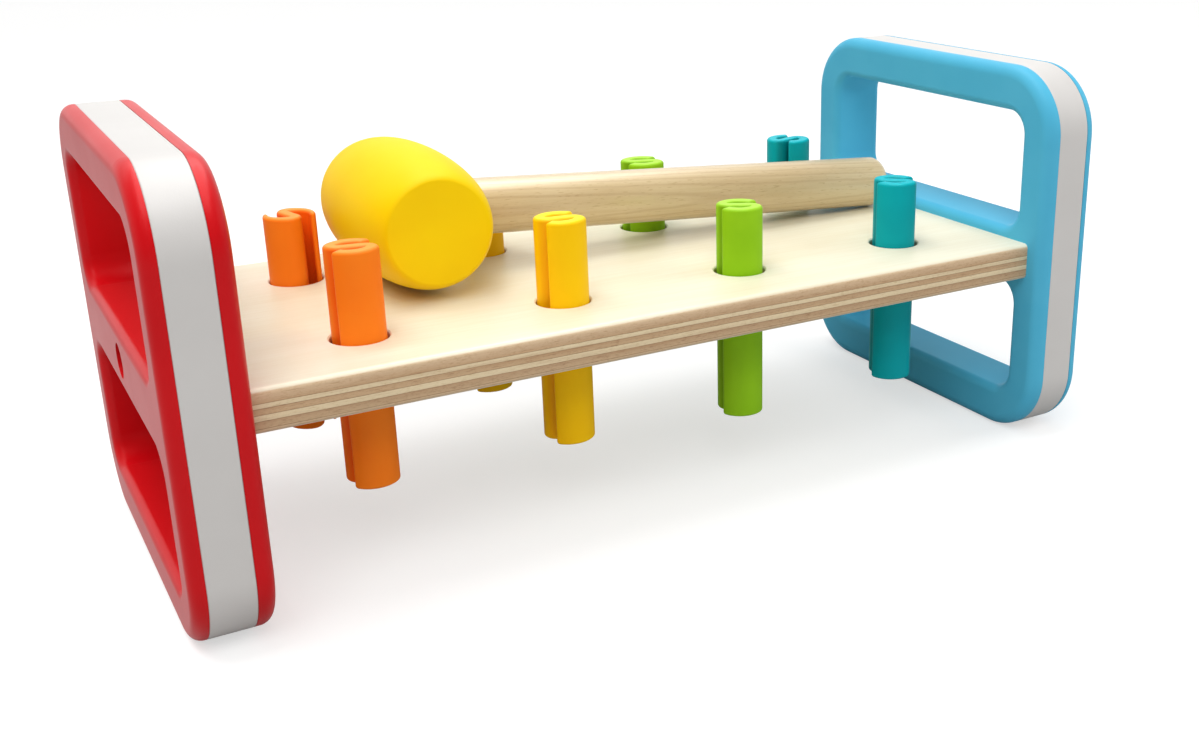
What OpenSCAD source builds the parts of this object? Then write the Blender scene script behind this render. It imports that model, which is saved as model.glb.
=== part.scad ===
// Peg pounding bench: a plywood board with eight holes between two moulded end frames,
// eight springy pegs of S section and a mallet that lies on the board.
// Millimetres. +X runs along the board from the red frame to the blue one, +Y to the back, +Z up.
// The origin is on the ground under the middle of the bench.

/* [Board] */
// board length seen between the two end frames
board_between = 253; // [240:1:300]
// how far each long edge of the board stands in from the frames' sides
board_inset = 6.5; // [6:0.5:9]
// plywood thickness
board_t = 12; // [9:0.5:13]
// rounding of the four long edges
board_edge_r = 1.6; // [0.5:0.1:3]
// how far each board end goes into its frame
board_in = 9; // [6:0.5:10]

/* [Pegs] */
// outer diameter of a peg
peg_d = 15.5; // [14.5:0.5:16.5]
// length of a peg
peg_len = 68; // [50:1:68]
// thickness of the bent strip
strip_t = 3.9; // [3.6:0.1:4]
// radius of the bend between an arc and the middle bar, on the middle of the strip
strip_bend_r = 2.05; // [2.05:0.05:2.15]
// angle at which an arc ends, from the line of the middle bar
arc_end_angle = 41; // [40:1:60]
// the same for the one peg that has sprung open a little
slack_end_angle = 48; // [44:1:60]
// thickness of that peg's two free ends, which run out thinner
slack_end_t = 1.5; // [1.4:0.1:2.2]
// gap round a peg in its hole
peg_gap = 0.35; // [0.3:0.05:0.6]
// distance from column to column
column_pitch = 60.5; // [58:0.5:70]
// distance from front row to back row
row_spacing = 64; // [62:0.5:80]

/* [End frames] */
// frame width
frame_w = 130; // [126:1:150]
// frame height
frame_h = 126; // [122:1:140]
// outline corner radius
corner_r = 22; // [15:1:28]
// visible edge of the outer shell
outer_edge = 4; // [3.8:0.1:6]
// white rim band, across its width
band_w = 12; // [8:0.5:16]
// visible edge of the inner shell
inner_edge = 5; // [3.8:0.1:7]
// thickness of the rim band
band_t = 2.4; // [1.5:0.1:2.6]
// wall of the moulded shells
shell_wall = 2.2; // [1.6:0.1:2.4]
// rounding of the outline edges
outline_round = 3.6; // [2:0.1:3.7]
// frame beside a window
side_rail_w = 13; // [12:0.5:20]
// frame above the upper window and below the lower one
end_rail_h = 14.5; // [14:0.5:19]
// window corner radius
window_r = 7.5; // [4:0.5:12]
// rounding of the window edges
window_round = 2.6; // [1:0.1:2.8]
// height of the bar between the two windows
bar_h = 19; // [18:0.5:22]

/* [Frame screw] */
// recess in the outer face
recess_d = 10; // [9.5:0.1:11]
// how deep the head sits
recess_depth = 8; // [6:0.5:8.5]
// screw head diameter
head_d = 8; // [7:0.1:9]
// screw head height
head_h = 2.6; // [2:0.1:3]
// shank diameter
shank_d = 4; // [3:0.1:5]
// length under the head
shank_len = 36; // [20:1:40]

/* [Mallet] */
// head diameter at its belly
mallet_d = 41.4; // [38:0.1:42]
// diameter of the head's flat ends
face_d = 29.8; // [26:0.1:36]
// head length
mallet_len = 63; // [54:0.5:64]
// handle diameter
handle_d = 17.7; // [14:0.1:18]
// handle length, end to end
handle_len = 191; // [132:1:194]
// how far the handle goes in past the head's middle
handle_in = 12; // [5:0.5:14]
// rounding of the handle's ends
handle_round = 4; // [1:0.1:4.2]
// place of the head's middle along the board
mallet_x = -60.3; // [-61:0.1:-59.5]
// place of the head's middle across the board
mallet_y = 15.3; // [14:0.1:15.6]
// turn of the mallet, seen from above
mallet_turn = 0.4; // [0.3:0.1:3]

/* [Hidden] */
$fn = 96;
overrun = 1;
rest_gap = 0.3;
fit_gap = 0.05;
frame_t = outer_edge + band_w + inner_edge;
part_line = outer_edge + band_w / 2;
half_len = board_between / 2 + frame_t;
mid_z = frame_h / 2;
board_w = frame_w - 2 * board_inset;
board_top = mid_z + board_t / 2;
window_w = frame_w - 2 * side_rail_w;
window_h = (frame_h - bar_h) / 2 - end_rail_h;
window_z = (bar_h + window_h) / 2;
hole_d = peg_d + 2 * peg_gap;
rim_bevel_w = 0.4;
flange_w = frame_w - 2 * band_t;
flange_h = frame_h - 2 * band_t;
flange_r = corner_r - band_t;
cavity_w = flange_w - 2 * shell_wall;
cavity_h = flange_h - 2 * shell_wall;
cavity_r = flange_r - shell_wall;
board_end = frame_t - board_in;
boss_wall = 1.6;
boss_d = recess_d + 2 * boss_wall;
shank_hole_d = shank_d + 2 * fit_gap;
post_d = 3;
post_wall = 1.4;
post_len = 6;
post_share = 0.707;
socket_out_d = post_d + 2 * post_wall;
post_sink = 0.4;
post_out = (cavity_r - socket_out_d / 2 + post_sink) * post_share;
post_y = frame_w / 2 - corner_r + post_out;
post_z = frame_h / 2 - corner_r + post_out;
dome_r = 7;
drive_len = 4.4;
drive_w = 1.1;
drive_depth = 1.6;
rib_t = 1.6;
rib_top = bar_h / 2 - shell_wall / 2;
rib_shares = [-0.4, -0.2, 0.2, 0.4];

peg_r = peg_d / 2;
tip_bevel_w = 0.6;
arc_step = 8;
chamfer_angle = atan(tip_bevel_w / peg_r);
strip_mid_r = peg_r - strip_t / 2;
bend_dist = strip_mid_r - strip_bend_r;
bend_x = sqrt(bend_dist * bend_dist - strip_bend_r * strip_bend_r);
bend_angle = asin(strip_bend_r / bend_dist);

mallet_r = mallet_d / 2;
face_r = face_d / 2;
handle_r = handle_d / 2;
handle_reach = handle_len - handle_in;
mallet_drop = asin((mallet_r - handle_r) / (handle_reach - handle_round));
socket_d = handle_d + 2 * fit_gap;
head_z = board_top + rest_gap + mallet_r;

// name, column, row, turn, mirrored, slack
pegs = [
    ["peg_orange_front", 0, -1, -10, 0, 0],
    ["peg_orange_back", 0, 1, -76, 0, 1],
    ["peg_yellow_front", 1, -1, -7, 0, 0],
    ["peg_yellow_back", 1, 1, -10, 0, 0],
    ["peg_green_front", 2, -1, -29, 0, 0],
    ["peg_green_back", 2, 1, -18, 0, 0],
    ["peg_teal_front", 3, -1, -42, 0, 0],
    ["peg_teal_back", 3, 1, 17, 0, 0]
];
// how much of each peg stands above the board
top_shares = [0.375, 0.306, 0.368, 0.304, 0.308, 0.345, 0.314, 0.365];
columns = [-1.5, -0.5, 0.5, 1.5];

birch = [0.93, 0.84, 0.68];
beech = [0.80, 0.66, 0.48];
orange = [0.98, 0.45, 0.08];
yellow = [0.98, 0.74, 0.02];
green = [0.55, 0.78, 0.12];
teal = [0.02, 0.62, 0.66];
red = [0.80, 0.06, 0.14];
blue = [0.32, 0.70, 0.86];
white = [0.94, 0.94, 0.93];
steel = [0.62, 0.63, 0.65];

// a flat outline with four round corners
module round_rect(w, h, r) {
    square([w - 2 * r, h], center = true);
    square([w, h - 2 * r], center = true);
    for (sy = [-1, 1], sz = [-1, 1])
        translate([sy * (w / 2 - r), sz * (h / 2 - r)]) circle(r);
}

// stands a flat outline up across the bench, from depth a to depth b
module across(a, b) {
    translate([a, 0, 0]) rotate([90, 0, 90]) linear_extrude(height = b - a) children();
}

// one quarter of the waste outside a rounded edge: square less circle
module edge_waste(e) {
    difference() {
        square([e + overrun, e + overrun]);
        circle(e);
    }
}

// waste that rounds the edge where an outline meets a face that looks down -X at depth 0
// side is 1 where the plastic is inside the outline, -1 where it is outside, as round a window
module rim_waste(w, h, r, e, side) {
    for (s = [-1, 1]) {
        translate([e, s * (w / 2 - side * e), -(h / 2 - r)]) linear_extrude(height = h - 2 * r)
            mirror([1, 0, 0]) mirror([0, s * side < 0 ? 1 : 0, 0]) edge_waste(e);
        translate([e, -(w / 2 - r), s * (h / 2 - side * e)]) rotate([-90, 0, 0])
            linear_extrude(height = w - 2 * r)
                mirror([1, 0, 0]) mirror([0, s * side > 0 ? 1 : 0, 0]) edge_waste(e);
    }
    for (sy = [-1, 1], sz = [-1, 1])
        translate([e, sy * (w / 2 - r), sz * (h / 2 - r)])
            mirror([0, sy < 0 ? 1 : 0, 0]) mirror([0, 0, sz < 0 ? 1 : 0]) rotate([0, -90, 0])
                rotate_extrude(angle = 90) translate([r - side * e, 0])
                    mirror([side < 0 ? 1 : 0, 0, 0]) edge_waste(e);
}

// the two windows as flat outlines, grown by g on every side
module windows(g) {
    for (s = [-1, 1])
        translate([0, s * window_z]) round_rect(window_w + 2 * g, window_h + 2 * g, window_r + g);
}

// everything a shell loses at a face that looks down -X: rounded outline and window edges
module face_rounding() {
    rim_waste(frame_w, frame_h, corner_r, outline_round, 1);
    for (s = [-1, 1])
        translate([0, 0, s * window_z]) rim_waste(window_w, window_h, window_r, window_round, -1);
}

module at_posts() {
    for (sy = [-1, 1], sz = [-1, 1]) translate([0, sy * post_y, sz * post_z]) children();
}

// outer half of an end frame: open box that ends at the parting line
module outer_shell() {
    difference() {
        union() {
            difference() {
                union() {
                    across(0, outer_edge) round_rect(frame_w, frame_h, corner_r);
                    across(outer_edge, part_line) round_rect(flange_w, flange_h, flange_r);
                }
                across(shell_wall, part_line + overrun) round_rect(cavity_w, cavity_h, cavity_r);
            }
            across(shell_wall / 2, part_line) windows(shell_wall);
            across(shell_wall / 2, board_end) circle(d = boss_d);
            at_posts() rotate([0, 90, 0]) cylinder(d = post_d, h = part_line + post_len);
        }
        across(-overrun, part_line + overrun) windows(0);
        across(-overrun, recess_depth) circle(d = recess_d);
        across(recess_depth - overrun, board_end + overrun) circle(d = shank_hole_d);
        face_rounding();
    }
}

// inner half: takes the board end in a slot and the other half's posts in sockets
module inner_shell() {
    difference() {
        union() {
            difference() {
                union() {
                    across(frame_t - inner_edge, frame_t) round_rect(frame_w, frame_h, corner_r);
                    across(part_line, frame_t - inner_edge) round_rect(flange_w, flange_h, flange_r);
                }
                across(part_line - overrun, frame_t - shell_wall)
                    round_rect(cavity_w, cavity_h, cavity_r);
            }
            across(part_line, frame_t - shell_wall / 2) windows(shell_wall);
            at_posts() across(part_line, frame_t - shell_wall / 2) circle(d = socket_out_d);
            board_ribs();
        }
        across(part_line - overrun, frame_t + overrun) windows(0);
        across(board_end, frame_t + overrun) board_outline();
        at_posts() across(part_line - overrun, part_line + post_len + overrun)
            circle(d = post_d + 2 * fit_gap);
        translate([frame_t, 0, 0]) mirror([1, 0, 0]) face_rounding();
    }
}

// ribs above and below the board end, inside the bar
module board_ribs() {
    for (y = rib_shares * window_w, s = [-1, 1])
        translate([board_end, y - rib_t / 2, s > 0 ? board_t / 2 : -rib_top])
            cube([board_in - shell_wall / 2, rib_t, rib_top - board_t / 2]);
}

module rim_band() {
    across(outer_edge, outer_edge + band_w) difference() {
        round_rect(frame_w, frame_h, corner_r);
        round_rect(flange_w + 2 * fit_gap, flange_h + 2 * fit_gap, flange_r + fit_gap);
    }
}

// pan head, plain shank and point, head down in the recess
module frame_screw() {
    translate([recess_depth, 0, 0]) rotate([0, 90, 0]) {
        difference() {
            translate([0, 0, -head_h]) intersection() {
                cylinder(d = head_d, h = head_h);
                translate([0, 0, dome_r]) sphere(dome_r);
            }
            for (a = [0, 90]) rotate([0, 0, a])
                translate([-drive_len / 2, -drive_w / 2, -head_h - overrun])
                    cube([drive_len, drive_w, drive_depth + overrun]);
        }
        cylinder(d = shank_d, h = shank_len - shank_d);
        translate([0, 0, shank_len - shank_d]) cylinder(d1 = shank_d, d2 = 0, h = shank_d);
    }
}

module at_red() {
    translate([-half_len, 0, mid_z]) children();
}

module at_blue() {
    translate([half_len, 0, mid_z]) mirror([1, 0, 0]) children();
}

module board_outline() {
    round_rect(board_w, board_t, board_edge_r);
}

// through hole with both rims eased
module peg_hole() {
    cylinder(d = hole_d, h = board_t + 2 * overrun, center = true);
    for (m = [0, 1]) mirror([0, 0, m]) translate([0, 0, board_t / 2 - rim_bevel_w])
        cylinder(d1 = hole_d, d2 = hole_d + 2 * (rim_bevel_w + overrun), h = rim_bevel_w + overrun);
}

module board() {
    difference() {
        translate([0, 0, mid_z])
            across(-board_between / 2 - board_in, board_between / 2 + board_in) board_outline();
        for (c = columns, r = [-1, 1])
            translate([c * column_pitch, r * row_spacing / 2, mid_z]) peg_hole();
        for (side = [-1, 1]) translate([side * (half_len - recess_depth), 0, mid_z])
            rotate([0, -side * 90, 0]) {
                cylinder(d = shank_d, h = shank_len - shank_d);
                translate([0, 0, shank_len - shank_d]) cylinder(d1 = shank_d, d2 = 0, h = shank_d);
            }
    }
}

function polar(r, a) = [r * cos(a), r * sin(a)];

// n + 1 points of an arc about a centre
function arc(centre, r, a, b, n) = [for (i = [0 : n]) centre + polar(r, a + (b - a) * i / n)];

// n + 1 points of an arc's inside, where the strip runs from its full thickness to end_t
function inner_arc(a, b, end_t, n) = [for (i = [0 : n])
    polar(peg_r - strip_t + (strip_t - end_t) * i / n, a + (b - a) * i / n)];

// half of the bent strip's outline: outside of one arc and its bend, then the inside of the
// other bend and arc up to its blunt end. The outside runs past the peg's circle, which trims it.
function half_outline(end_angle, end_t) = concat(
    [polar(peg_r + overrun, end_angle + chamfer_angle * (1 + overrun / tip_bevel_w))],
    arc([0, 0], peg_r + overrun, end_angle + arc_step, 180 - bend_angle, 5),
    [polar(peg_r + fit_gap, 180 - bend_angle)],
    arc([-bend_x, strip_bend_r], strip_bend_r + strip_t / 2, 180 - bend_angle + arc_step, 270, 8),
    arc([bend_x, -strip_bend_r], strip_bend_r - strip_t / 2, 90, -bend_angle, 6),
    inner_arc(-bend_angle - arc_step, end_angle - 180 + chamfer_angle, end_t, 14),
    [polar(peg_r - end_t + tip_bevel_w, end_angle - 180), polar(peg_r - tip_bevel_w, end_angle - 180)]);

// the S: the half outline and the same turned half round
module s_section(end_angle, end_t) {
    half = half_outline(end_angle, end_t);
    intersection() {
        circle(peg_r);
        polygon(concat(half, -half));
    }
}

// one peg of the table, in its hole
module s_peg(n) {
    p = pegs[n];
    drop = peg_len * (1 - top_shares[n]);
    translate([columns[p[1]] * column_pitch, p[2] * row_spacing / 2, board_top - drop])
        rotate([0, 0, p[3]]) mirror([0, p[4], 0]) linear_extrude(height = peg_len)
            s_section(p[5] > 0 ? slack_end_angle : arc_end_angle, p[5] > 0 ? slack_end_t : strip_t);
}

// half outline of the head: flat ends, and half an ellipse that swells to the belly between them
head_steps = 20;
head_half = [for (i = [-head_steps : head_steps]) let (a = 90 * i / head_steps)
    [face_r + (mallet_r - face_r) * cos(a), mallet_len / 2 * sin(a)]];

module mallet_place() {
    translate([mallet_x, mallet_y, head_z]) rotate([0, 0, -mallet_turn]) rotate([0, mallet_drop, 0])
        children();
}

// head with its axis along Y, bored for the handle along X
module mallet_head() {
    mallet_place() difference() {
        rotate([90, 0, 0]) rotate_extrude()
            polygon(concat([[0, mallet_len / 2], [0, -mallet_len / 2]], head_half));
        translate([-handle_in - fit_gap, 0, 0]) rotate([0, 90, 0])
            cylinder(d = socket_d, h = handle_in + mallet_r + overrun);
    }
}

module mallet_handle() {
    mallet_place() translate([-handle_in, 0, 0]) rotate([0, 90, 0]) rotate_extrude()
        handle_half(handle_len);
}

// half outline of the handle, both ends rounded
module handle_half(l) {
    square([handle_r - handle_round, l]);
    translate([0, handle_round]) square([handle_r, l - 2 * handle_round]);
    intersection() {
        square([handle_r, l]);
        for (h = [handle_round, l - handle_round]) translate([handle_r - handle_round, h])
            circle(handle_round);
    }
}

color(birch) board();
color(orange) s_peg(0);  // peg_orange_front
color(orange) s_peg(1);  // peg_orange_back
color(yellow) s_peg(2);  // peg_yellow_front
color(yellow) s_peg(3);  // peg_yellow_back
color(green) s_peg(4);  // peg_green_front
color(green) s_peg(5);  // peg_green_back
color(teal) s_peg(6);  // peg_teal_front
color(teal) s_peg(7);  // peg_teal_back
color(red) at_red() outer_shell();  // red_outer_shell
color(red) at_red() inner_shell();  // red_inner_shell
color(white) at_red() rim_band();  // red_rim_band
color(steel) at_red() frame_screw();  // red_frame_screw
color(blue) at_blue() outer_shell();  // blue_outer_shell
color(blue) at_blue() inner_shell();  // blue_inner_shell
color(white) at_blue() rim_band();  // blue_rim_band
color(steel) at_blue() frame_screw();  // blue_frame_screw
color(yellow) mallet_head();
color(beech) mallet_handle();
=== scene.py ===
# Peg pounding bench: a plywood board between two moulded end frames, eight springy pegs
# of S section, and a mallet lying on the board. Metres, in the CAD frame.
import math
import bpy
import numpy as np
from mathutils import Matrix, Vector


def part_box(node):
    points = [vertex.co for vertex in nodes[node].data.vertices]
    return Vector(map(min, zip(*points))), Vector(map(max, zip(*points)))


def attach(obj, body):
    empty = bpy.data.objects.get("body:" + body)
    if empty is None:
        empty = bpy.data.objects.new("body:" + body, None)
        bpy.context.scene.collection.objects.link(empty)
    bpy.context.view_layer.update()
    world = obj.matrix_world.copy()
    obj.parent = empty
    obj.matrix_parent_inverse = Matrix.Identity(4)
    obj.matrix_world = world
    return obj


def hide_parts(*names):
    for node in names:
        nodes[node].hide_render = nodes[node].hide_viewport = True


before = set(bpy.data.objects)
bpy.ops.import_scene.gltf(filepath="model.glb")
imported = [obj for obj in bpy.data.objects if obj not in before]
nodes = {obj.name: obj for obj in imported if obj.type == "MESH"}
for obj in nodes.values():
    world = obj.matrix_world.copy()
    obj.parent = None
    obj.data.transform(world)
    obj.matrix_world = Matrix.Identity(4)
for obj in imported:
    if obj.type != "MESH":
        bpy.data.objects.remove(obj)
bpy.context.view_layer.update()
boardLow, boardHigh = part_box("board")
print("frame loaded,", len(nodes), "nodes")


def screen(colour):
    # a colour picked on screen, 0 to 255, as the linear colour that shaders want
    share = np.array(colour) / 255
    linear = np.where(share <= 0.04045, share / 12.92, ((share + 0.055) / 1.055) ** 2.4)
    return (*linear.tolist(), 1.0)


def put(tree, kind, sockets=None, **settings):
    # adds a node; each socket, by name or number, gets a constant or the output that feeds it
    node = tree.nodes.new(kind)
    for name, value in settings.items():
        setattr(node, name, value)
    for name, value in (sockets or {}).items():
        if isinstance(value, bpy.types.NodeSocket):
            tree.links.new(value, node.inputs[name])
        else:
            node.inputs[name].default_value = value
    return node


def calc(tree, operation, *values, clamp=False):
    # one step of arithmetic on outputs and constants
    return put(tree, "ShaderNodeMath", dict(enumerate(values)), operation=operation,
               use_clamp=clamp).outputs[0]


def plus(tree, first, second, clamp=False):
    return calc(tree, "ADD", first, second, clamp=clamp)


def times(tree, first, second, clamp=False):
    return calc(tree, "MULTIPLY", first, second, clamp=clamp)


def swing(tree, value, size):
    # noise from 0 to 1 as a swing of that size about zero
    return times(tree, calc(tree, "SUBTRACT", value, 0.5), size)


def noise(tree, vector, stretch, detail, roughness):
    # noise on coordinates in millimetres; stretch holds features per millimetre along X, Y and Z
    scaled = put(tree, "ShaderNodeVectorMath", {0: vector, 1: stretch}, operation="MULTIPLY")
    return put(tree, "ShaderNodeTexNoise", {"Vector": scaled.outputs[0], "Scale": 1.0,
               "Detail": detail, "Roughness": roughness}).outputs["Fac"]


def mask(tree, value, low, high):
    # smooth step from 0 at low to 1 at high
    return put(tree, "ShaderNodeMapRange", {"Value": value, "From Min": low, "From Max": high},
               interpolation_type="SMOOTHSTEP").outputs["Result"]


def mixColour(tree, share, first, second, blend="MIX"):
    # from the first colour at share 0 to the second, or to both blended, at share 1
    return put(tree, "ShaderNodeMix", {0: share, 6: first, 7: second}, data_type="RGBA",
               blend_type=blend).outputs[2]


def newGroup(name, inputs, outputs):
    # inputs and outputs: name -> kind; gives the group, its inputs and a way to feed its outputs
    group = bpy.data.node_groups.new(name, "ShaderNodeTree")
    for direction, sockets in (("INPUT", inputs), ("OUTPUT", outputs)):
        for label, kind in sockets.items():
            group.interface.new_socket(name=label, in_out=direction, socket_type="NodeSocket" + kind)
    entry = group.nodes.new("NodeGroupInput")
    leave = group.nodes.new("NodeGroupOutput")
    return group, entry.outputs, lambda label, value: group.links.new(value, leave.inputs[label])


def useGroup(tree, group, sockets):
    return put(tree, "ShaderNodeGroup", sockets, node_tree=group).outputs


def millimetres(tree, place=(0.0, 0.0, 0.0), turn=(0.0, 0.0, 0.0)):
    # object coordinates in millimetres, centred and turned on a piece
    where = put(tree, "ShaderNodeTexCoord").outputs["Object"]
    moved = put(tree, "ShaderNodeMapping", {"Vector": where, "Location": place, "Rotation": turn},
                vector_type="TEXTURE")
    return put(tree, "ShaderNodeVectorMath", {0: moved.outputs[0], "Scale": 1000.0},
               operation="SCALE").outputs[0]


# what both groups of surface effects put out
surface = {"Color": "Color", "Roughness": "Float", "Height": "Float"}

# noise is given as features per millimetre along X, Y and Z, detail and roughness
woodGrain = {"figure": ((0.011, 0.045, 0.045), 3.0, 0.55), "streaks": ((0.028, 0.75, 0.75), 4.0, 0.6),
             "fibres": ((0.16, 4.2, 4.2), 2.0, 0.5), "fibreTone": 0.16, "fibreRough": 0.5,
             "pores": ((0.33, 3.1, 3.1), 1.0, 0.5), "poreRange": (0.62, 0.74), "poreRough": 0.2,
             "evenTone": 0.4, "streakRelief": 0.5}


def buildWoodFibre():
    # wood that runs along X: broad figure, long streaks, hair-fine fibres and short dark pores
    look = woodGrain
    group, take, give = newGroup("woodFibre", {
        "Vector": "Vector", "Light": "Color", "Dark": "Color", "Figure": "Float", "Streaks": "Float",
        "Pores": "Float", "Roughness": "Float"}, surface)
    vector = take["Vector"]
    streaks = noise(group, vector, *look["streaks"])
    fibres = noise(group, vector, *look["fibres"])
    pores = mask(group, noise(group, vector, *look["pores"]), *look["poreRange"])
    broad = swing(group, noise(group, vector, *look["figure"]), take["Figure"])
    fine = swing(group, streaks, take["Streaks"])
    hair = swing(group, fibres, look["fibreTone"])
    share = plus(group, plus(group, broad, fine), plus(group, hair, look["evenTone"]), clamp=True)
    wood = mixColour(group, share, take["Light"], take["Dark"])
    specks = times(group, pores, take["Pores"])
    give("Color", mixColour(group, specks, wood, take["Dark"], "MULTIPLY"))
    rough = plus(group, take["Roughness"], times(group, hair, look["fibreRough"]))
    give("Roughness", plus(group, rough, times(group, specks, look["poreRough"])))
    relief = plus(group, fibres, times(group, streaks, look["streakRelief"]))
    give("Height", calc(group, "SUBTRACT", relief, specks))
    return group


skinGrain = {"drift": ((0.035, 0.035, 0.05), 3.0, 0.5), "driftRange": (0.3, 0.75), "driftRough": 0.1,
             "rubs": ((1.1, 1.1, 0.035), 3.0, 0.6), "rubRange": (0.52, 0.8), "rubRough": 0.16,
             "rubRelief": 0.4, "grit": ((2.6, 2.6, 2.6), 2.0, 0.5)}


def buildMouldedSkin():
    # moulded plastic: slow drifts of tone, a spark-eroded skin, faint rubs along Z, painted light
    # that makes cut ends paler and painted shade that makes slots deeper
    look = skinGrain
    group, take, give = newGroup("mouldedSkinWithPaintedLight", {
        "Vector": "Vector", "Base": "Color", "Deep": "Color", "Drift": "Float", "Rubs": "Float",
        "Grit": "Float", "Roughness": "Float", "End": "Color", "PaintedEndLightAmount": "Float", "PaintedSlotShade": "Color",
        "PaintedSlotShadeAmount": "Float"}, surface)
    vector = take["Vector"]
    drift = noise(group, vector, *look["drift"])
    rubs = mask(group, noise(group, vector, *look["rubs"]), *look["rubRange"])
    grit = noise(group, vector, *look["grit"])
    share = times(group, mask(group, drift, *look["driftRange"]), take["Drift"])
    tone = mixColour(group, share, take["Base"], take["Deep"])
    # painted shade deepens the tone in the slots, and painted light pales the cut ends
    tone = mixColour(group, take["PaintedSlotShadeAmount"], tone, take["PaintedSlotShade"])
    give("Color", mixColour(group, take["PaintedEndLightAmount"], tone, take["End"]))
    worn = times(group, rubs, take["Rubs"])
    rough = plus(group, take["Roughness"], times(group, worn, look["rubRough"]))
    give("Roughness", plus(group, rough, swing(group, drift, look["driftRough"])))
    give("Height", calc(group, "SUBTRACT", times(group, grit, take["Grit"]),
                        times(group, worn, look["rubRelief"])))
    return group


woodFibre = buildWoodFibre()
mouldedSkinWithPaintedLight = buildMouldedSkin()


def newMaterial(name):
    material = bpy.data.materials.new(name)
    material.use_nodes = True
    return material, material.node_tree


def finish(material, colour, roughness, height, bumpDepth, constants):
    # joins a material's colour, roughness and height to its Principled shader
    tree = material.node_tree
    shader = tree.nodes["Principled BSDF"]
    tree.links.new(colour, shader.inputs["Base Color"])
    tree.links.new(roughness, shader.inputs["Roughness"])
    bump = put(tree, "ShaderNodeBump", {"Height": height, "Distance": bumpDepth, "Strength": 1.0})
    tree.links.new(bump.outputs[0], shader.inputs["Normal"])
    for name, value in constants.items():
        shader.inputs[name].default_value = value
    return material


# tones as picked on screen; drift, rubs and grit say how much of each the skin shows
# a peg's end tone is painted light, paler cut ends as if lit from above, and its slot tone is painted shade
pegPlastic = {"drift": 0.5, "rubs": 0.5, "grit": 0.8, "roughness": 0.46, "specular": 0.12,
              "endMix": 0.8, "slotMix": 0.45}
framePlastic = {"drift": 0.35, "rubs": 0.25, "grit": 0.5, "roughness": 0.4}
plastics = {
    "orange": {**pegPlastic, "base": (255, 134, 28), "deep": (254, 116, 15), "end": (255, 166, 74),
               "slot": (238, 62, 0)},
    "yellow": {**pegPlastic, "base": (255, 203, 2), "deep": (254, 187, 0), "end": (255, 240, 40),
               "slot": (226, 138, 0)},
    "green": {**pegPlastic, "base": (150, 205, 28), "deep": (128, 187, 12), "end": (180, 230, 76),
              "slot": (84, 128, 0)},
    "teal": {**pegPlastic, "base": (0, 168, 176), "deep": (0, 150, 160), "end": (0, 190, 202),
             "slot": (0, 84, 88), "roughness": 0.44},
    "red": {**framePlastic, "base": (206, 8, 18), "deep": (190, 2, 10), "roughness": 0.32,
            "specular": 0.2, "sheen": 0.12, "sheenRoughness": 0.3},
    "blue": {**framePlastic, "base": (86, 184, 218), "deep": (68, 170, 208), "specular": 0.07},
    "white": {**framePlastic, "base": (209, 206, 203), "deep": (201, 198, 195), "drift": 0.4,
              "rubs": 0.3, "specular": 0.35},
    "mallet": {"base": (250, 213, 0), "deep": (246, 204, 0), "drift": 0.6, "rubs": 0.1, "grit": 1.0,
               "roughness": 0.5, "specular": 0.12}}
plasticBumpDepth = 0.00003


def plasticMaterial(name, look):
    # the moulded skin in one plastic's tones; painted light pales the pegs' cut ends and painted shade
    # deepens their slots
    material, tree = newMaterial(name)
    sockets = {"Vector": millimetres(tree), "Base": screen(look["base"]), "Deep": screen(look["deep"]),
               "Drift": look["drift"], "Rubs": look["rubs"], "Grit": look["grit"],
               "Roughness": look["roughness"]}
    # the pegs only: painted light on the cut ends and painted shade in the slots
    if "end" in look:
        ends = put(tree, "ShaderNodeAttribute", attribute_name="endShare").outputs["Fac"]
        slots = put(tree, "ShaderNodeAttribute", attribute_name="slotShare").outputs["Fac"]
        sockets.update({"End": screen(look["end"]), "PaintedEndLightAmount": times(tree, ends, look["endMix"]),
                        "PaintedSlotShade": screen(look["slot"]), "PaintedSlotShadeAmount": times(tree, slots, look["slotMix"])})
    skin = useGroup(tree, mouldedSkinWithPaintedLight, sockets)
    constants = {"IOR": 1.5, "Specular IOR Level": look["specular"]}
    if "sheen" in look:
        constants.update({"Sheen Weight": look["sheen"], "Sheen Roughness": look["sheenRoughness"]})
    return finish(material, skin["Color"], skin["Roughness"], skin["Height"], plasticBumpDepth, constants)


plastic = {name: plasticMaterial(name + "Plastic", look) for name, look in plastics.items()}

# each ply from the board's top down: depth share at which it ends, its colour at its top and bottom
plywood = {"plies": [(0.050, (246, 230, 198), (240, 216, 180)), (0.325, (232, 204, 168), (206, 172, 134)),
                     (0.435, (236, 218, 181), (234, 214, 177)), (0.575, (200, 166, 128), (208, 176, 138)),
                     (0.710, (236, 217, 180), (232, 212, 175)), (0.875, (194, 160, 124), (204, 174, 138)),
                     (1.000, (222, 194, 158), (214, 184, 148))],
           "glue": (150, 112, 76), "glueFade": 0.0096,
           "wander": ((0.018, 0.03, 0.0), 2.0, 0.5), "wave": 0.044,
           "topFade": (0.05, 0.09), "bottomFade": (0.93, 0.98),
           "faceLight": (238, 233, 211), "faceDark": (226, 214, 182), "edgeShade": (0.84, 0.8232, 0.798, 1),
           "face": {"Figure": 1.5, "Streaks": 0.75, "Pores": 0.10, "Roughness": 0.4},
           "edge": {"Figure": 0.6, "Streaks": 1.3, "Pores": 0.35, "Roughness": 0.55},
           "mottle": ((0.9, 0.9, 2.2), 3.0, 0.65), "mottleRange": (0.45, 0.8), "mottleMix": 0.35,
           "patch": (176, 132, 90), "patches": ((0.022, 0.02, 0.45), 3.0, 0.6),
           "patchRange": (0.5, 0.75), "patchMix": 0.3,
           "faceRelief": 0.5, "edgeRelief": 1.6, "bumpDepth": 0.00004,
           "shader": {"IOR": 1.45, "Specular IOR Level": 0.35, "Coat Weight": 0.05, "Coat Roughness": 0.3}}


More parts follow.
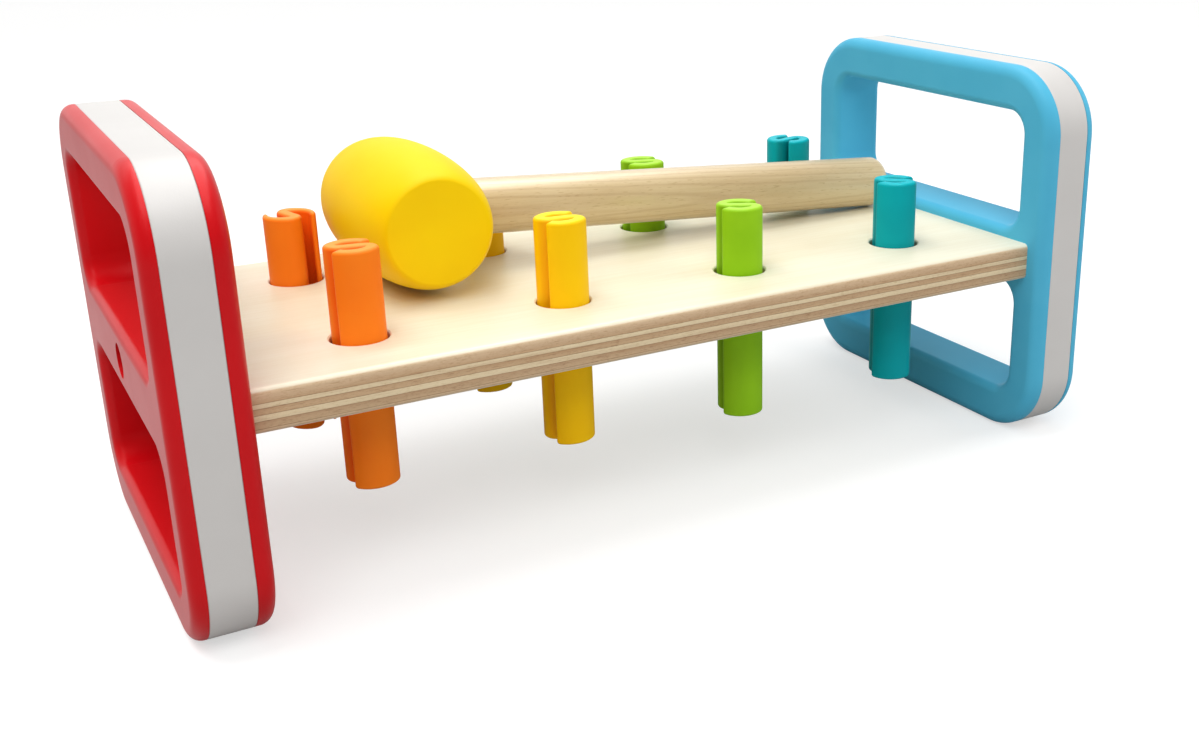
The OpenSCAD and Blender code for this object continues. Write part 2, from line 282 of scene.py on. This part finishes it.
def plyStops():
    # colour stops down the board: a ply runs from its upper to its lower colour, with a thin
    # glue line before the next one; the last ply ends the board, without a glue line
    stops, start = [], 0.0
    for end, upper, lower in plywood["plies"]:
        stops += [(start, upper), (end - plywood["glueFade"], lower), (end, plywood["glue"])]
        start = end + plywood["glueFade"]
    return stops[:-2] + [(end, lower)]


def plyColourAt(tree, spot, depth):
    # the colour of the ply at a depth; the plies wave, not at all at the faces and in full at half
    # depth, where 4 * depth * (1 - depth) is 1
    look, stops = plywood, plyStops()
    middle = times(tree, times(tree, depth, calc(tree, "SUBTRACT", 1.0, depth)), 4.0, clamp=True)
    wander = swing(tree, noise(tree, spot, *look["wander"]), middle)
    shifted = plus(tree, depth, times(tree, wander, look["wave"]))
    plyRamp = put(tree, "ShaderNodeValToRGB", {"Fac": shifted})
    ramp = plyRamp.color_ramp
    while len(ramp.elements) < len(stops):
        ramp.elements.new(0.5)
    for element, stop in zip(ramp.elements, stops):
        element.position = stop[0]
    for element, stop in zip(ramp.elements, stops):
        element.color = screen(stop[1])
    return plyRamp.outputs["Color"]


def plywoodMaterial():
    # the ply at a point follows from its depth under the board's top; the faces show long grain,
    # and the edges and the holes' walls show the plies
    look = plywood
    top, bottom = boardHigh.z * 1000, boardLow.z * 1000
    material, tree = newMaterial("birchPly")
    spot = millimetres(tree)
    height = put(tree, "ShaderNodeSeparateXYZ", {0: spot}).outputs["Z"]
    depth = calc(tree, "DIVIDE", calc(tree, "SUBTRACT", top, height), top - bottom)
    plyColour = plyColourAt(tree, spot, depth)
    inner = times(tree, mask(tree, depth, *look["topFade"]),
                  calc(tree, "SUBTRACT", 1.0, mask(tree, depth, *look["bottomFade"])))
    face = useGroup(tree, woodFibre, {"Vector": spot, "Light": screen(look["faceLight"]),
                                      "Dark": screen(look["faceDark"]), **look["face"]})
    # edges: long streaks with a short mottle across them
    shade = mixColour(tree, 1.0, plyColour, look["edgeShade"], "MULTIPLY")
    edge = useGroup(tree, woodFibre, {"Vector": spot, "Light": plyColour, "Dark": shade, **look["edge"]})
    mottle = mask(tree, noise(tree, spot, *look["mottle"]), *look["mottleRange"])
    edgeColour = mixColour(tree, times(tree, mottle, look["mottleMix"]), edge["Color"], shade, "MULTIPLY")
    # browner stretches along the board, different from ply to ply
    patches = mask(tree, noise(tree, spot, *look["patches"]), *look["patchRange"])
    edgeColour = mixColour(tree, times(tree, patches, look["patchMix"]), edgeColour, screen(look["patch"]))
    colour = mixColour(tree, inner, face["Color"], edgeColour)
    roughness = plus(tree, times(tree, edge["Roughness"], inner),
                     times(tree, face["Roughness"], calc(tree, "SUBTRACT", 1.0, inner)))
    relief = plus(tree, times(tree, edge["Height"], times(tree, inner, look["edgeRelief"])),
                  times(tree, face["Height"], look["faceRelief"]))
    return finish(material, colour, roughness, relief, look["bumpDepth"], look["shader"])


birchPly = plywoodMaterial()


# ringPhase: radians per millimetre of reach from the screws' axis
steel = {"light": (196, 198, 202), "dark": (150, 152, 158), "ringPhase": 28.0, "ringRelief": 0.4,
         "skin": {"Drift": 0.8, "Rubs": 0.3, "Grit": 0.6, "Roughness": 0.3}, "bumpDepth": 0.00002}


def steelMaterial():
    # zinc plated steel: faint turning rings round the screws' axis, which runs along X through
    # the middle of the board's ends, and a dull patchy skin
    look = steel
    material, tree = newMaterial("screwSteel")
    spot = millimetres(tree, (0.0, 0.0, (boardLow.z + boardHigh.z) / 2))
    part = put(tree, "ShaderNodeSeparateXYZ", {0: spot}).outputs
    squares = plus(tree, times(tree, part["Y"], part["Y"]), times(tree, part["Z"], part["Z"]))
    reach = calc(tree, "SQRT", squares)
    wave = calc(tree, "SINE", times(tree, reach, look["ringPhase"]))
    rings = times(tree, plus(tree, wave, 1.0), 0.5)
    skin = useGroup(tree, mouldedSkinWithPaintedLight, {"Vector": spot, "Base": screen(look["light"]),
                                        "Deep": screen(look["dark"]), **look["skin"]})
    relief = plus(tree, skin["Height"], times(tree, rings, look["ringRelief"]))
    return finish(material, skin["Color"], skin["Roughness"], relief, look["bumpDepth"], {"Metallic": 1.0})


screwSteel = steelMaterial()
print("finishes built")


def gridQuads(rows, columns, wrap):
    # quads between neighbouring rows of points; with wrap the last column joins the first
    i, j = np.meshgrid(np.arange(rows - 1), np.arange(columns if wrap else columns - 1), indexing="ij")
    k = (j + 1) % columns
    return np.stack([i * columns + j, i * columns + k, (i + 1) * columns + k, (i + 1) * columns + j],
                    -1).reshape(-1, 4)


def endFans(rows, columns):
    # triangles that close a wrapped grid's first and last rows on two poles, which come right
    # after the grid's points
    total, last, k = rows * columns, (rows - 1) * columns, np.arange(columns)
    return [np.stack([np.full(columns, total), np.roll(k, -1), k], -1),
            np.stack([np.full(columns, total + 1), last + k, last + np.roll(k, -1)], -1)]


def volume(points, faces):
    # signed volume, positive where the faces point outwards: a face is a fan of triangles, and a
    # triangle adds a sixth of its first corner dotted with the cross product of the other two
    total = 0.0
    for corners in {len(face) for face in faces}:
        rows = np.array([face for face in faces if len(face) == corners])
        for step in range(1, corners - 1):
            across = np.cross(points[rows[:, step]], points[rows[:, step + 1]])
            total += (points[rows[:, 0]] * across).sum() / 6
    return total


def makePiece(name, points, faces, material, body, crease=35.0):
    # closed surface from points in metres and face lists, smooth but for creases over the angle
    points = np.asarray(points, float).reshape(-1, 3)
    faces = [tuple(int(v) for v in face) for part in faces for face in part]
    if volume(points, faces) < 0:
        faces = [face[::-1] for face in faces]
    mesh = bpy.data.meshes.new(name)
    mesh.from_pydata(points.tolist(), [], faces)
    mesh.validate()
    mesh.shade_smooth()
    mesh.set_sharp_from_angle(angle=math.radians(crease))
    mesh.materials.append(material)
    piece = bpy.data.objects.new(name, mesh)
    bpy.context.scene.collection.objects.link(piece)
    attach(piece, body)
    return piece


# the slot fade sets how far into the slots the painted shade sets in
# set: name -> turn in degrees, and whether the peg is slack, with its slots open
pegs = {"outer": 0.00775, "thick": 0.0039, "bend": 0.00205, "arcEnd": 41.0, "slackEnd": 48.0,
        "slackTip": 0.0015, "slotFade": 0.0009, "rimRound": 0.001, "tipRound": 0.0007,
        "leastTipRound": 0.00005, "leastHalf": 0.00004,
        "arcSteps": 34, "bendSteps": 14, "barSteps": 6, "roundSteps": 8, "tipSteps": 7, "sideLevels": 8,
        "set": {"orange_front": (-10, False), "orange_back": (-76, True), "yellow_front": (-7, False),
                "yellow_back": (-10, False), "green_front": (-29, False), "green_back": (-18, False),
                "teal_front": (-42, False), "teal_back": (17, False)}}


def stripSizes(arcEnd):
    # the lengths of the whole strip, an arc and a bend, and then the arc's radius, how far short
    # of half a turn it meets the bend, and half of the middle bar
    radius = pegs["outer"] - pegs["thick"] / 2
    reach = radius - pegs["bend"]
    meet = math.asin(pegs["bend"] / reach)
    barHalf = math.sqrt(reach ** 2 - pegs["bend"] ** 2)
    arcLength = radius * (math.pi - meet - math.radians(arcEnd))
    bendLength = pegs["bend"] * (math.pi / 2 + meet)
    return 2 * (arcLength + bendLength + barHalf), arcLength, bendLength, radius, meet, barHalf


def stripLine(along, arcEnd):
    # middle line of the S and its normal: an arc round the axis, a tight bend and half of the
    # middle bar, and then the same turned half round
    length, arcLength, bendLength, radius, meet, barHalf = stripSizes(arcEnd)
    flip = along > length / 2
    s = np.where(flip, length - along, along)
    onArc = math.radians(arcEnd) + s / radius
    onBend = math.pi - meet + (s - arcLength) / pegs["bend"]
    arc = radius * np.stack([np.cos(onArc), np.sin(onArc)], -1)
    bendCentre = np.array([-barHalf, pegs["bend"]])
    bend = bendCentre + pegs["bend"] * np.stack([np.cos(onBend), np.sin(onBend)], -1)
    bar = np.stack([s - arcLength - bendLength - barHalf, np.zeros_like(s)], -1)
    isArc, isBar = (s < arcLength)[..., None], (s > arcLength + bendLength)[..., None]
    place = np.where(isArc, arc, np.where(isBar, bar, bend))
    angle = np.where(isArc[..., 0], onArc, onBend)
    normal = np.where(isBar, np.array([0.0, 1.0]), -np.stack([np.cos(angle), np.sin(angle)], -1))
    return np.where(flip[..., None], -place, place), normal


def stripPlaces(inset, tipRound, arcEnd):
    # places along the strip, a row for each level: round tip, arc, bend, bar and the same back; a
    # level's inset shortens it at both ends
    look = pegs
    length, arcLength, bendLength = stripSizes(arcEnd)[:3]
    tip = 1 - np.cos(np.linspace(0, math.pi / 2, look["tipSteps"] + 1))
    front = inset + tipRound * tip[None, :-1]
    body = np.concatenate([np.linspace(look["tipRound"], arcLength, look["arcSteps"]),
                           np.linspace(arcLength, arcLength + bendLength, look["bendSteps"])[1:],
                           np.linspace(arcLength + bendLength, length / 2, look["barSteps"])[1:]])
    body = np.concatenate([body, (length - body[:-1])[::-1]])[None, :]
    body = np.clip(body, inset + tipRound, length - inset - tipRound)
    return np.concatenate([front, body, (length - front)[:, ::-1]], 1)


def stripLoops(inset, slack):
    # for each level a closed loop round the strip, out along one side and back along the other;
    # its tips are round, and the slack peg's arcs run out thinner on their inside
    look = pegs
    arcEnd, half = look["slackEnd"] if slack else look["arcEnd"], look["thick"] / 2
    length, arcLength = stripSizes(arcEnd)[:2]
    tipRound = np.maximum(look["tipRound"] - inset, look["leastTipRound"])
    along = stripPlaces(inset, tipRound, arcEnd)
    toEnd = np.minimum(along, length - along)
    intoTip = np.clip(tipRound - (toEnd - inset), 0, None)
    dip = tipRound - np.sqrt(np.clip(tipRound ** 2 - intoTip ** 2, 0, None))
    thinner = np.clip(1 - toEnd / arcLength, 0, 1) * (look["thick"] - look["slackTip"] if slack else 0.0)
    cut = np.minimum(inset + dip, half - thinner / 2 - look["leastHalf"])
    flip = along > length / 2
    left = (half - cut - np.where(flip, 0, thinner))[..., None]
    right = (half - cut - np.where(flip, thinner, 0))[..., None]
    place, normal = stripLine(along, arcEnd)
    return np.concatenate([place + normal * left, (place - normal * right)[:, ::-1]], 1)


def buildPeg(name, turn, slack):
    # the strip's section, a long rounded rectangle bent along the S, at levels up the peg; at both
    # ends of the peg it shrinks by a quarter round
    look, rim = pegs, pegs["rimRound"]
    low, high = (np.array(corner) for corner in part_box("peg_" + name))
    centre = (low + high)[:2] / 2
    quarter = np.linspace(0, math.pi / 2, look["roundSteps"] + 1)
    inset, rise = rim * (1 - np.sin(quarter)), rim * (1 - np.cos(quarter))
    side = np.linspace(low[2] + rim, high[2] - rim, look["sideLevels"])[1:-1]
    levels = np.concatenate([low[2] + rise, side, high[2] - rise[::-1]])
    inset = np.concatenate([inset, 0 * side, inset[::-1]])[:, None]
    c, s = math.cos(math.radians(turn)), math.sin(math.radians(turn))
    loop = stripLoops(inset, slack) @ np.array([[c, s], [-s, c]]) + centre
    rows, columns = loop.shape[:2]
    points = np.concatenate([loop, np.broadcast_to(levels[:, None, None], (rows, columns, 1))], -1)
    # the flat ends: quads from one side of the strip to the other
    k = np.arange(columns // 2 - 1)
    cap = np.stack([k, k + 1, columns - 2 - k, columns - 1 - k], -1)
    colour = name.split("_")[0]
    piece = makePiece("peg_strip_" + name, points,
                      [gridQuads(rows, columns, True), cap[:, ::-1], cap + (rows - 1) * columns],
                      plastic[colour], name)
    # shares for the material: 1 on the cut ends, for painted light, and from 0 near the outside to 1 in the
    # slots, for painted shade
    ends = np.repeat(inset / rim, columns, 1)
    inwards = look["outer"] - np.linalg.norm(loop - centre, axis=2)
    slots = np.clip(inwards / look["slotFade"] - 1, 0, 1) * (1 - ends)
    for label, shares in (("endShare", ends), ("slotShare", slots)):
        piece.data.attributes.new(label, "FLOAT", "POINT").data.foreach_set("value", shares.ravel())
    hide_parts("peg_" + name)


for pegName, (turn, slack) in pegs["set"].items():
    buildPeg(pegName, turn, slack)
print("pegs built")


# the handle runs from handleIn behind the head's axis to handleOut in front of it; boreRing is
# the place of one ring of the bore in front of that axis
mallet = {"belly": 0.0207, "face": 0.0149, "length": 0.063, "handle": 0.00885, "handleIn": 0.012,
          "handleOut": 0.179, "handleRound": 0.004, "gap": 0.00005, "turn": 0.4, "rimFillet": 0.0006,
          "boreRing": 0.008, "around": 192, "alongSteps": 128, "faceRings": 8, "patchAround": 17,
          "patchAlong": 16, "joinRings": 6, "rimSteps": 6, "handleAround": 96, "handleRings": 38,
          "handleRoundSteps": 10}


def malletFrame():
    # the mallet's own axes: X out along the handle, Y along the head; it lies on head and handle end
    low, high = (Vector(corner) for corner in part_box("mallet_head"))
    centre = Vector((low.x + mallet["belly"], (low.y + high.y) / 2, (low.z + high.z) / 2))
    drop = math.asin((mallet["belly"] - mallet["handle"]) / (mallet["handleOut"] - mallet["handleRound"]))
    swivel = Matrix.Rotation(-math.radians(mallet["turn"]), 4, "Z")
    return Matrix.Translation(centre) @ swivel @ Matrix.Rotation(drop, 4, "Y")


malletPlace = malletFrame()


def placed(points):
    # points on the mallet's own axes, in the CAD frame
    matrix = np.array(malletPlace)
    return points @ matrix[:3, :3].T + matrix[:3, 3]


def headRadius(s):
    # half an ellipse that stands on the end faces' radius and swells to the belly
    share = np.clip(2 * s / mallet["length"], -1, 1)
    return mallet["face"] + (mallet["belly"] - mallet["face"]) * np.sqrt(1 - share ** 2)


def onHead(radius, angle):
    # where a circle of that radius about the handle's axis meets the head: place along the head
    # and turn about it
    s = radius * np.cos(angle)
    return s, np.arcsin(radius * np.sin(angle) / headRadius(s))


def headPoint(s, t, sink=0.0):
    # the head's surface at a place along it and a turn about it, sunk along the handle's axis
    return np.stack([headRadius(s) * np.cos(t) - sink, s, headRadius(s) * np.sin(t)], -1)


def cutWindow(quads, columns, middleRow):
    # leaves out the grid's quads round the handle's hole; gives the rest, and the window's border
    # as steps from the hole's middle, along the head and round it
    a, b = mallet["patchAlong"], mallet["patchAround"]
    i, j = quads[:, 0] // columns, quads[:, 0] % columns
    inside = (i >= middleRow - a) & (i < middleRow + a) & ((j < b) | (j >= columns - b))
    di = np.concatenate([np.arange(-a, a), np.full(2 * b, a), np.arange(a, -a, -1), np.full(2 * b, -a)])
    dj = np.concatenate([np.full(2 * a, -b), np.arange(-b, b), np.full(2 * a, b), np.arange(b, -b, -1)])
    return quads[~inside], di, dj


def holeRings(s0, t0):
    # rings of points from the window's border to the hole's edge, over its eased rim and down the
    # bore to its floor
    look = mallet
    angle = np.arctan2(t0 * look["belly"], s0)
    hole, fillet = look["handle"] + look["gap"], look["rimFillet"]
    s1, t1 = onHead(hole + fillet, angle)
    rings = [headPoint(s0 + (s1 - s0) * q, t0 + (t1 - t0) * q)
             for q in np.linspace(0, 1, look["joinRings"] + 1)[1:]]
    for ease in np.linspace(0, math.pi / 2, look["rimSteps"] + 1)[1:]:
        s, t = onHead(hole + fillet * (1 - math.sin(ease)), angle)
        rings.append(headPoint(s, t, fillet * (1 - math.cos(ease))))
    for x in (look["boreRing"], -look["handleIn"] - look["gap"]):
        rings.append(np.stack([0 * angle + x, hole * np.cos(angle), hole * np.sin(angle)], -1))
    return np.stack(rings)


def buildHead():
    # turned about Y from pole to pole, with rings of quads round the handle's hole in a window of
    # its grid, and a fan of triangles on the bore's floor
    look, middle = mallet, mallet["alongSteps"] // 2
    side = look["length"] / 2 * np.sin(np.linspace(-math.pi / 2, math.pi / 2, look["alongSteps"] + 1))
    theta = np.linspace(0, 2 * np.pi, look["around"], endpoint=False)
    faceR = look["face"] * np.linspace(1, 0, look["faceRings"] + 1)[1:-1]
    y = np.concatenate([side[0] + 0 * faceR, side, side[-1] + 0 * faceR])[:, None]
    r = np.concatenate([faceR[::-1], headRadius(side), faceR])[:, None]
    points = np.stack([r * np.cos(theta), y + 0 * theta, r * np.sin(theta)], -1)
    rows, columns = points.shape[:2]
    poles = np.array([[0, -look["length"] / 2, 0], [0, look["length"] / 2, 0]])
    middleRow = len(faceR) + middle
    quads, di, dj = cutWindow(gridQuads(rows, columns, True), columns, middleRow)
    border = (middleRow + di) * columns + dj % columns
    rings = holeRings(side[middle + di], dj * 2 * np.pi / columns)
    n, first = len(border), rows * columns + len(poles)
    around = np.arange(n)
    join = np.stack([border, np.roll(border, -1), first + np.roll(around, -1), first + around], -1)
    bore = gridQuads(len(rings), n, True) + first
    last = first + (len(rings) - 1) * n + around
    floorFan = np.stack([np.full(n, first + len(rings) * n), last, np.roll(last, -1)], -1)
    floor = [[-look["handleIn"] - look["gap"], 0, 0]]
    allPoints = np.concatenate([points.reshape(-1, 3), poles, rings.reshape(-1, 3), floor])
    piece = makePiece("mallet_turned_head", placed(allPoints),
                      [quads, *endFans(rows, columns), join, bore, floorFan],
                      plastic["mallet"], "mallet")
    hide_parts("mallet_head")


# slope, bow and wander bend the rings' lines; linePhase is in radians per millimetre across them
handleWood = {"light": (224, 204, 162), "dark": (190, 160, 112), "line": (172, 136, 94), "lineMix": 0.26,
              "slope": 0.035, "bow": 0.09, "wander": ((0.012, 0.09, 0.09), 3.0, 0.5), "wanderSize": 5.0,
              "linePhase": 2.1, "lineRange": (0.35, 1.0), "bumpDepth": 0.00003,
              "grain": {"Figure": 1.0, "Streaks": 0.7, "Pores": 0.35, "Roughness": 0.3},
              "shader": {"IOR": 1.45, "Coat Weight": 0.8, "Coat Roughness": 0.24}}


def handleMaterial():
    # long grain along the handle with a few cathedral lines, where the rings run out of the side
    look = handleWood
    material, tree = newMaterial("handleWood")
    turn = malletPlace.to_euler()
    spot = millimetres(tree, tuple(malletPlace.translation), tuple(turn))
    part = put(tree, "ShaderNodeSeparateXYZ", {0: spot}).outputs
    slope = times(tree, part["X"], look["slope"])
    bow = times(tree, times(tree, part["Z"], part["Z"]), look["bow"])
    wander = times(tree, noise(tree, spot, *look["wander"]), look["wanderSize"])
    across = plus(tree, plus(tree, part["Y"], slope), plus(tree, bow, wander))
    line = mask(tree, calc(tree, "SINE", times(tree, across, look["linePhase"])), *look["lineRange"])
    fibre = useGroup(tree, woodFibre, {"Vector": spot, "Light": screen(look["light"]),
                                       "Dark": screen(look["dark"]), **look["grain"]})
    colour = mixColour(tree, times(tree, line, look["lineMix"]), fibre["Color"], screen(look["line"]))
    return finish(material, colour, fibre["Roughness"], fibre["Height"], look["bumpDepth"], look["shader"])


def buildHandle():
    # a rod turned about X with a quarter round at each end and flat end faces
    look, ends = mallet, np.linspace(0, math.pi / 2, mallet["handleRoundSteps"] + 1)
    rise, rho = look["handle"] - look["handleRound"], look["handleRound"]
    x0, x1 = -look["handleIn"], look["handleOut"]
    body = np.linspace(x0 + rho, x1 - rho, look["handleRings"] + 2)[1:-1]
    easeIn, easeOut = rho * (1 - np.cos(ends)), rho * np.sin(ends)
    x = np.concatenate([[x0], x0 + easeIn, body, x1 - easeIn[::-1], [x1]])[:, None]
    r = np.concatenate([[rise / 2], rise + easeOut, look["handle"] + 0 * body, rise + easeOut[::-1],
                        [rise / 2]])[:, None]
    theta = np.linspace(0, 2 * np.pi, look["handleAround"], endpoint=False)
    points = np.stack([x + 0 * theta, r * np.cos(theta), r * np.sin(theta)], -1)
    rows, columns = points.shape[:2]
    allPoints = np.concatenate([points.reshape(-1, 3), [[x0, 0, 0], [x1, 0, 0]]])
    piece = makePiece("mallet_turned_handle", placed(allPoints),
                      [gridQuads(rows, columns, True), *endFans(rows, columns)],
                      handleMaterial(), "mallet")
    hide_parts("mallet_handle")


buildHead()
buildHandle()
print("mallet built")


rimBand = {"corner": 0.022, "thick": 0.00235, "edgeRound": 0.0004, "cornerSteps": 28, "roundSteps": 5}


def buildBand(colour):
    # profile of depth and place across, carried round the frame's outline; corners turn about
    # their own centres, so a deeper point turns on a smaller radius
    look, node = rimBand, colour + "_rim_band"
    low, high = (np.array(corner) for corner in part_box(node))
    rho, thick = look["edgeRound"], look["thick"]
    quarter = np.linspace(0, math.pi / 2, look["roundSteps"] + 1)
    inward, deeper = rho * (1 - np.sin(quarter)), rho * (1 - np.cos(quarter))
    x = np.concatenate([low[0] + inward[::-1], high[0] - inward, [high[0], low[0]]])
    depth = np.concatenate([deeper[::-1], deeper, [thick, thick]])
    corners = [np.linspace(k, k + 1, look["cornerSteps"] + 1) for k in range(4)]
    angle = np.concatenate(corners) * math.pi / 2
    sign = np.repeat([[1, 1], [-1, 1], [-1, -1], [1, -1]], look["cornerSteps"] + 1, 0)
    middle, half = (low + high)[1:] / 2, (high - low)[1:] / 2 - look["corner"]
    direction = np.stack([np.cos(angle), np.sin(angle)], -1)
    flat = middle + sign * half + (look["corner"] - depth[:, None, None]) * direction
    points = np.concatenate([np.broadcast_to(x[:, None, None], (*flat.shape[:2], 1)), flat], -1)
    points = points.transpose(1, 0, 2)
    rows = len(angle)
    quads = gridQuads(rows, len(x), True)
    # quads that join the last row to the first
    closing = gridQuads(2, len(x), True)
    closing = np.where(closing < len(x), closing + (rows - 1) * len(x), closing - len(x))
    piece = makePiece(colour + "_rim_ring", points, [quads, closing], plastic["white"],
                      "bench")
    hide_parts(node)


buildBand("red")
buildBand("blue")
print("rim bands built")


shown = {"board": birchPly, "red_outer_shell": plastic["red"], "red_inner_shell": plastic["red"],
         "blue_outer_shell": plastic["blue"], "blue_inner_shell": plastic["blue"],
         "red_frame_screw": screwSteel, "blue_frame_screw": screwSteel}
for nodeName, material in shown.items():
    for place in nodes[nodeName].material_slots:
        place.material = material
print("board, shells and screws finished")


# panels: name -> place, size, power, shown in reflections, lights matt surfaces
studio = {"white": (1, 1, 0.995, 1), "worldLight": 0.36, "frontGloss": 0.15, "behindRange": (-0.55, 0.25),
          "sunPower": 1.45, "sunSoft": 34.0, "sunFrom": (-0.20, 0.10, 0.92), "lampAim": (0.0, 0.0, 0.06),
          "panels": {"longPanel": ((-0.05, 0.42, 0.62), (1.1, 0.25), 1.0, True, True),
                     "overPanel": ((0.05, -0.02, 0.9), (1.3, 0.6), 13.5, True, False),
                     "frontFill": ((-0.45, -0.72, 1.0), (0.9, 0.7), 7.0, False, True),
                     "sideFill": ((0.95, -0.40, 0.55), (0.6, 0.6), 3.6, False, True)},
          "floorHalf": 6.0, "floorGrey": 0.5, "floorGlow": 0.57,
          "cameraPlace": (-0.189323, -0.389429, 0.190730), "azimuth": -31.2608, "elevation": 19.4305,
          "roll": -0.3442, "sensor": 36.0, "lens": 41.7264, "shift": (-0.1112, -0.01382),
          "near": 0.01, "far": 50.0}


def buildFloor():
    # a matt floor that glows towards the camera, so that it looks white round the object's shadow
    mesh = bpy.data.meshes.new("floor")
    reach = studio["floorHalf"]
    corners = [(-reach, -reach, 0), (reach, -reach, 0), (reach, reach, 0), (-reach, reach, 0)]
    mesh.from_pydata(corners, [], [(0, 1, 2, 3)])
    floor = bpy.data.objects.new("floor", mesh)
    bpy.context.scene.collection.objects.link(floor)
    material, tree = newMaterial("paleFloor")
    tree.nodes.clear()
    level = studio["floorGrey"]
    matt = put(tree, "ShaderNodeBsdfDiffuse", {"Color": (level, level, level, 1)})
    glow = put(tree, "ShaderNodeEmission", {"Color": studio["white"], "Strength": studio["floorGlow"]})
    path = put(tree, "ShaderNodeLightPath").outputs
    seen = calc(tree, "MAXIMUM", path["Is Camera Ray"], path["Is Transmission Ray"])
    both = put(tree, "ShaderNodeAddShader", {0: matt.outputs[0], 1: glow.outputs[0]})
    mix = put(tree, "ShaderNodeMixShader", {0: seen, 1: matt.outputs[0], 2: both.outputs[0]})
    put(tree, "ShaderNodeOutputMaterial", {"Surface": mix.outputs[0]})
    mesh.materials.append(material)


def buildWorld():
    # white to the camera and a dimmer light on matt surfaces; reflections show white behind the
    # bench, as from a backdrop, and less in front of it
    world = bpy.data.worlds.new("studio")
    world.use_nodes = True
    tree = world.node_tree
    tree.nodes.clear()
    path = put(tree, "ShaderNodeLightPath").outputs
    direction = put(tree, "ShaderNodeTexCoord").outputs["Generated"]
    forward = put(tree, "ShaderNodeSeparateXYZ", {0: direction}).outputs["Y"]
    behind = mask(tree, forward, *studio["behindRange"])
    reflected = calc(tree, "MULTIPLY_ADD", behind, 1.0 - studio["frontGloss"], studio["frontGloss"])
    clear = calc(tree, "MAXIMUM", path["Is Camera Ray"], path["Is Transmission Ray"])
    level = calc(tree, "MAXIMUM", clear, times(tree, path["Is Glossy Ray"], reflected))
    matt = times(tree, calc(tree, "SUBTRACT", 1.0, path["Is Glossy Ray"]), studio["worldLight"])
    strength = calc(tree, "MAXIMUM", level, matt)
    light = put(tree, "ShaderNodeBackground", {"Color": studio["white"], "Strength": strength})
    put(tree, "ShaderNodeOutputWorld", {"Surface": light.outputs[0]})
    bpy.context.scene.world = world


def addLamp(name, kind, place, power, glossy, diffuse, **settings):
    # a lamp that looks at the bench's middle
    lamp = bpy.data.lights.new(name, kind)
    lamp.energy = power
    for key, value in settings.items():
        setattr(lamp, key, value)
    thing = bpy.data.objects.new(name, lamp)
    thing.location = place
    aim = Vector(studio["lampAim"]) - Vector(place)
    thing.rotation_euler = aim.to_track_quat("-Z", "Y").to_euler()
    thing.visible_glossy = glossy
    thing.visible_diffuse = diffuse
    bpy.context.scene.collection.objects.link(thing)


def buildLamps():
    addLamp("softSun", "SUN", studio["sunFrom"], studio["sunPower"], False, True,
            angle=math.radians(studio["sunSoft"]))
    for name, (place, size, power, glossy, diffuse) in studio["panels"].items():
        addLamp(name, "AREA", place, power, glossy, diffuse, shape="RECTANGLE", size=size[0],
                size_y=size[1])


def buildCamera():
    # the photograph's view: back runs from the bench to the camera, by azimuth and elevation, and
    # a slight roll turns the picture
    look = studio
    a, e, r = (math.radians(look[key]) for key in ("azimuth", "elevation", "roll"))
    back = Vector((math.sin(a) * math.cos(e), -math.cos(a) * math.cos(e), math.sin(e)))
    level = (-back).cross(Vector((0, 0, 1))).normalized()
    rise = level.cross(-back)
    right = math.cos(r) * level + math.sin(r) * rise
    up = math.cos(r) * rise - math.sin(r) * level
    turn = Matrix((right, up, back)).transposed().to_4x4()
    data = bpy.data.cameras.new("camera")
    data.sensor_width = look["sensor"]
    data.lens = look["lens"]
    data.shift_x, data.shift_y = look["shift"]
    data.clip_start = look["near"]
    data.clip_end = look["far"]
    thing = bpy.data.objects.new("camera", data)
    thing.matrix_world = Matrix.Translation(look["cameraPlace"]) @ turn
    bpy.context.scene.collection.objects.link(thing)
    bpy.context.scene.camera = thing


buildFloor()
buildWorld()
buildLamps()
buildCamera()
bpy.context.scene.view_settings.view_transform = "Standard"
print("stage built")
